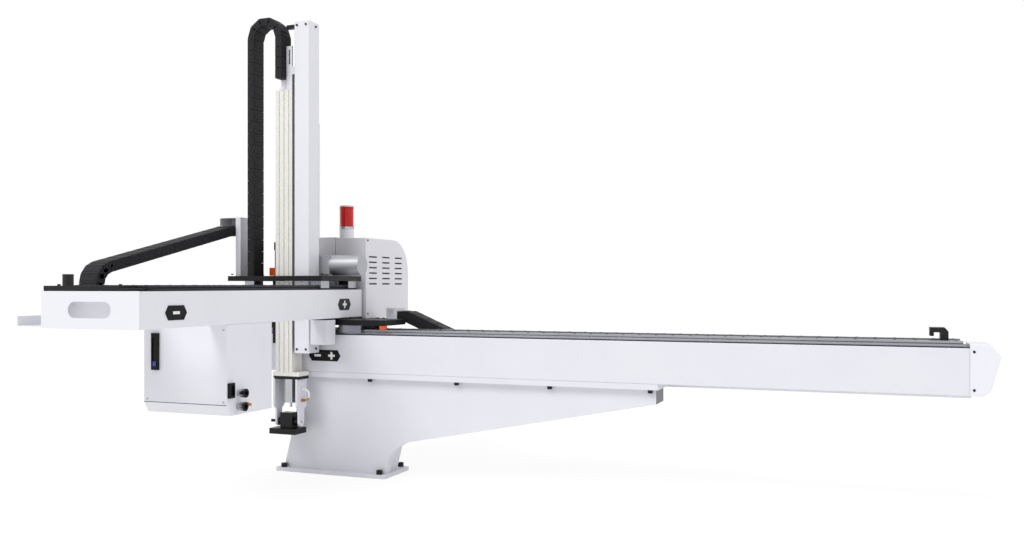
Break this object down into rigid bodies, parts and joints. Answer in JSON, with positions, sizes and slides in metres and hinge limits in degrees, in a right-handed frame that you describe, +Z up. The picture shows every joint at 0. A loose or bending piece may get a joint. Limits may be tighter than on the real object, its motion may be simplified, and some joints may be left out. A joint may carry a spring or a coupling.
{
  "type": "cartesian take-out robot",
  "caption": "Beam-type take-out robot: a carriage on a traverse beam carries a crosswise frame and a telescopic vertical arm with a flip wrist, on a cantilevered pedestal.",
  "frame": {"origin": "centre of the base plate's underside, where the four base bolts pass through it", "axes": "+X along the traverse beam to its long end, +Y away from the operator, +Z up"},
  "size_m": [2.897, 1.665, 1.8508],
  "materials": {
    "pedestal_paint": "smooth satin paint",
    "cover_paint": "smooth satin paint",
    "black_steel": "black oxide",
    "steel": "ground",
    "dark_steel": "ground and oiled",
    "aluminium": "anodised",
    "chain_plastic": "moulded",
    "motor_black": "satin",
    "motor_silver": "cast and brushed",
    "belt_rubber": "moulded",
    "lens_red": "translucent red",
    "brass": "turned",
    "tube_anodised": "anodised, pale",
    "wrist_grey": "satin"
  },
  "bodies": {
    "base": {"base_plate": "pedestal_paint", "base_bolts": "black_steel", "pedestal": "pedestal_paint", "beam_flange": "pedestal_paint", "flange_bolts": "black_steel", "traverse_beam": "pedestal_paint", "beam_end_cover": "cover_paint", "beam_bed": "dark_steel", "traverse_rails": "steel", "traverse_rack": "steel", "end_stops": "black_steel", "traverse_tray": "cover_paint", "traverse_chain_lower": "chain_plastic"},
    "traverse_chain": {"traverse_chain_loop": "chain_plastic"},
    "traverse_carriage": {"traverse_chain_upper": "chain_plastic", "traverse_chain_bracket": "cover_paint", "carriage_plate": "black_steel", "traverse_blocks": "steel", "traverse_motor": "motor_black", "frame_beams": "cover_paint", "frame_end_cap": "cover_paint", "frame_rails": "steel", "crosswise_rack": "steel", "near_stop": "black_steel", "valve_box": "cover_paint", "valve_box_fittings": "brass", "crosswise_tray": "cover_paint", "crosswise_chain_lower": "chain_plastic", "louvred_cabinet": "cover_paint", "side_cover": "cover_paint", "signal_light_lens": "lens_red"},
    "traverse_gear": {"traverse_pinion": "steel"},
    "crosswise_chain": {"crosswise_chain_loop": "chain_plastic"},
    "arm_carriage": {"crosswise_chain_upper": "chain_plastic", "chain_hood": "cover_paint", "arm_plate": "black_steel", "arm_carriage_blocks": "steel", "arm_upright": "black_steel", "lower_guide": "cover_paint", "crosswise_motor": "motor_black", "lift_motor": "motor_silver", "lift_chain_fixed_run": "chain_plastic"},
    "crosswise_gear": {"crosswise_pinion": "steel"},
    "lift_gear": {"lift_pinion": "steel"},
    "column": {"column_beam": "aluminium", "column_cover": "cover_paint", "column_fittings": "black_steel", "column_rails": "dark_steel", "lift_rack": "steel", "telescope_belt": "belt_rubber", "lift_chain_loop": "chain_plastic"},
    "upper_belt_pulley": {"upper_pulley": "aluminium"},
    "lower_belt_pulley": {"lower_pulley": "aluminium"},
    "arm": {"arm_tube": "tube_anodised", "stage_blocks": "steel", "tube_brackets": "cover_paint", "lift_chain_moving_run": "chain_plastic", "wrist_frame": "wrist_grey"},
    "wrist": {"rotary_unit": "black_steel", "tool_plate": "aluminium"}
  },
  "joints": [
    {"name": "traverse", "type": "slide", "parent": "base", "child": "traverse_carriage", "axis": [1, 0, 0], "range_m": [0, 1.8], "deforming": ["traverse_chain_lower", "traverse_chain_upper"]},
    {"name": "traverse_chain_roll", "type": "slide", "parent": "base", "child": "traverse_chain", "axis": [1, 0, 0], "range_m": [0, 0.9]},
    {"name": "traverse_gear_turn", "type": "hinge", "parent": "traverse_carriage", "child": "traverse_gear", "pos_m": [-0.02, 0.1195, 0.5425], "axis": [0, 0, 1], "range_deg": [-2884.8, 20]},
    {"name": "crosswise", "type": "slide", "parent": "traverse_carriage", "child": "arm_carriage", "axis": [0, -1, 0], "range_m": [0, 0.32], "deforming": ["crosswise_chain_lower", "crosswise_chain_upper"]},
    {"name": "crosswise_chain_roll", "type": "slide", "parent": "traverse_carriage", "child": "crosswise_chain", "axis": [0, -1, 0], "range_m": [0, 0.16]},
    {"name": "crosswise_gear_turn", "type": "hinge", "parent": "arm_carriage", "child": "crosswise_gear", "pos_m": [-0.214, -0.06, 0.7125], "axis": [0, 0, 1], "range_deg": [-699.1, 20]},
    {"name": "lift", "type": "slide", "parent": "arm_carriage", "child": "column", "axis": [0, 0, -1], "range_m": [0, 0.5], "deforming": ["lift_chain_fixed_run"]},
    {"name": "lift_gear_turn", "type": "hinge", "parent": "arm_carriage", "child": "lift_gear", "pos_m": [-0.049, -0.083, 0.838], "axis": [1, 0, 0], "range_deg": [-20, 1081]},
    {"name": "telescope", "type": "slide", "parent": "column", "child": "arm", "axis": [0, 0, -1], "range_m": [0, 0.5], "deforming": ["lift_chain_moving_run"]},
    {"name": "upper_pulley_turn", "type": "hinge", "parent": "column", "child": "upper_belt_pulley", "pos_m": [-0.078, -0.189, 1.76], "axis": [0, 1, 0], "range_deg": [-1705.2, 20]},
    {"name": "lower_pulley_turn", "type": "hinge", "parent": "column", "child": "lower_belt_pulley", "pos_m": [-0.078, -0.189, 0.525], "axis": [0, 1, 0], "range_deg": [-1705.2, 20]},
    {"name": "wrist_flip", "type": "hinge", "parent": "arm", "child": "wrist", "pos_m": [-0.155, -0.16, 0.215], "axis": [1, 0, 0], "range_deg": [0, 90]}
  ],
  "couplings": [
    {"joint": "traverse_chain_roll", "follows": "traverse", "ratio": 0.5},
    {"joint": "traverse_gear_turn", "follows": "traverse", "rad_per_m": -27.778},
    {"joint": "crosswise_chain_roll", "follows": "crosswise", "ratio": 0.5},
    {"joint": "crosswise_gear_turn", "follows": "crosswise", "rad_per_m": -37.037},
    {"joint": "lift_gear_turn", "follows": "lift", "rad_per_m": 37.037},
    {"joint": "telescope", "follows": "lift", "ratio": 1},
    {"joint": "upper_pulley_turn", "follows": "lift", "rad_per_m": -58.824},
    {"joint": "lower_pulley_turn", "follows": "lift", "rad_per_m": -58.824}
  ]
}
